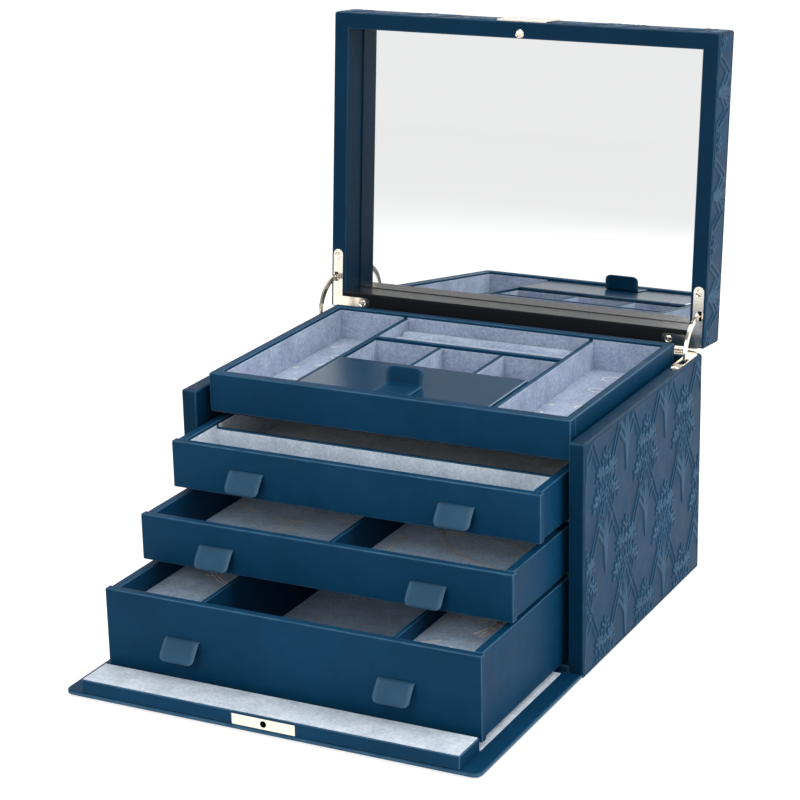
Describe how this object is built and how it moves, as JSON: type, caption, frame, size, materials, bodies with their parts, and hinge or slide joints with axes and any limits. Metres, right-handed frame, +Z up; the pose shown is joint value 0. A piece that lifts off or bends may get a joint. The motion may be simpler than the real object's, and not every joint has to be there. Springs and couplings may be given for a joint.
{
  "type": "jewelry gift box",
  "caption": "Leather-covered jewelry gift box with a mirrored lid, a divided tray, drawers with pull tabs and a locking fall front.",
  "frame": {"origin": "centre of the casing's underside, on the table", "axes": "+X to the right as seen from the front, +Y to the rear, towards the lid's hinges, +Z up"},
  "size_m": [0.29, 0.4179, 0.3742],
  "materials": {
    "leather_relief": "embossed, semi-gloss",
    "leather": "fine grain, semi-gloss",
    "board": "paper covered, matt",
    "suede": "napped suede",
    "gold_metal": "polished, pale gold",
    "mirror": "silvered glass"
  },
  "bodies": {
    "casing": {"base_board": "leather", "side_wall_left": "leather_relief", "side_wall_right": "leather_relief", "back_wall": "leather_relief", "lower_shelf": "board", "upper_shelf": "board", "deck_board": "board", "tray_front": "leather", "tray_back_wall": "leather", "tray_side_left": "leather", "tray_side_right": "leather", "tray_divider_left": "leather", "tray_divider_right": "leather", "tray_cross_divider": "leather", "tray_lid_rails": "leather", "tray_bay_dividers": "leather", "ring_rolls": "suede", "hinge_base_leaf_left": "gold_metal", "hinge_base_leaf_right": "gold_metal", "hinge_base_screws": "gold_metal", "hinge_pins": "gold_metal", "flap_hinge_strip": "leather"},
    "lid": {"lid_top_board": "leather_relief", "lid_rim_front": "leather_relief", "lid_rim_rear": "leather_relief", "lid_rim_left": "leather_relief", "lid_rim_right": "leather_relief", "lid_mirror": "mirror", "lid_front_plate": "gold_metal", "lock_stud": "gold_metal", "hinge_lid_leaf_left": "gold_metal", "hinge_lid_leaf_right": "gold_metal", "hinge_lid_screws": "gold_metal"},
    "stay_left": {"lid_stay_left": "gold_metal"},
    "stay_right": {"lid_stay_right": "gold_metal"},
    "compartment_cover": {"compartment_lid": "leather", "compartment_tab": "leather"},
    "fall_front": {"flap_board": "leather_relief", "flap_lining": "suede", "flap_lock_rail": "leather", "lock_plate": "gold_metal", "lock_case": "gold_metal", "keyhole_plate": "gold_metal"},
    "bolt": {"lock_bolt": "gold_metal"},
    "drawer_1": {"drawer_1_front": "leather", "drawer_1_walls": "leather", "drawer_1_bottom": "board", "drawer_1_divider": "leather", "drawer_1_tabs": "leather"},
    "drawer_2": {"drawer_2_front": "leather", "drawer_2_walls": "leather", "drawer_2_bottom": "board", "drawer_2_divider": "leather", "drawer_2_tabs": "leather"},
    "drawer_3": {"drawer_3_front": "leather", "drawer_3_walls": "leather", "drawer_3_bottom": "board", "drawer_3_dividers": "leather", "drawer_3_tabs": "leather", "drawer_3_pads": "suede"}
  },
  "joints": [
    {"name": "lid_hinge", "type": "hinge", "parent": "casing", "child": "lid", "pos_m": [0, 0.1069, 0.1575], "axis": [1, 0, 0], "range_deg": [0, 95]},
    {"name": "stay_left_fold", "type": "hinge", "parent": "lid", "child": "stay_left", "pos_m": [-0.1405, 0.10904, 0.18191], "axis": [-1, 0, 0], "range_deg": [0, 25.01]},
    {"name": "stay_right_fold", "type": "hinge", "parent": "lid", "child": "stay_right", "pos_m": [0.1405, 0.10904, 0.18191], "axis": [-1, 0, 0], "range_deg": [0, 25.01]},
    {"name": "compartment_cover_hinge", "type": "hinge", "parent": "casing", "child": "compartment_cover", "pos_m": [0, -0.0195, 0.1635], "axis": [1, 0, 0], "range_deg": [-100, 0]},
    {"name": "fall_front_hinge", "type": "hinge", "parent": "casing", "child": "fall_front", "pos_m": [0, -0.1065, 0.0025], "axis": [-1, 0, 0], "range_deg": [0, 1]},
    {"name": "bolt_slide", "type": "slide", "parent": "fall_front", "child": "bolt", "axis": [-1, 0, 0], "range_m": [0, 0.003]},
    {"name": "drawer_1_slide", "type": "slide", "parent": "casing", "child": "drawer_1", "axis": [0, 1, 0], "range_m": [-0.0905, 0.0495]},
    {"name": "drawer_2_slide", "type": "slide", "parent": "casing", "child": "drawer_2", "axis": [0, 1, 0], "range_m": [-0.049, 0.0909]},
    {"name": "drawer_3_slide", "type": "slide", "parent": "casing", "child": "drawer_3", "axis": [0, 1, 0], "range_m": [-0.003, 0.1365]}
  ],
  "couplings": [
    {"joint": "stay_left_fold", "follows": "lid_hinge", "ratio": 0.26316},
    {"joint": "stay_right_fold", "follows": "lid_hinge", "ratio": 0.26316}
  ]
}
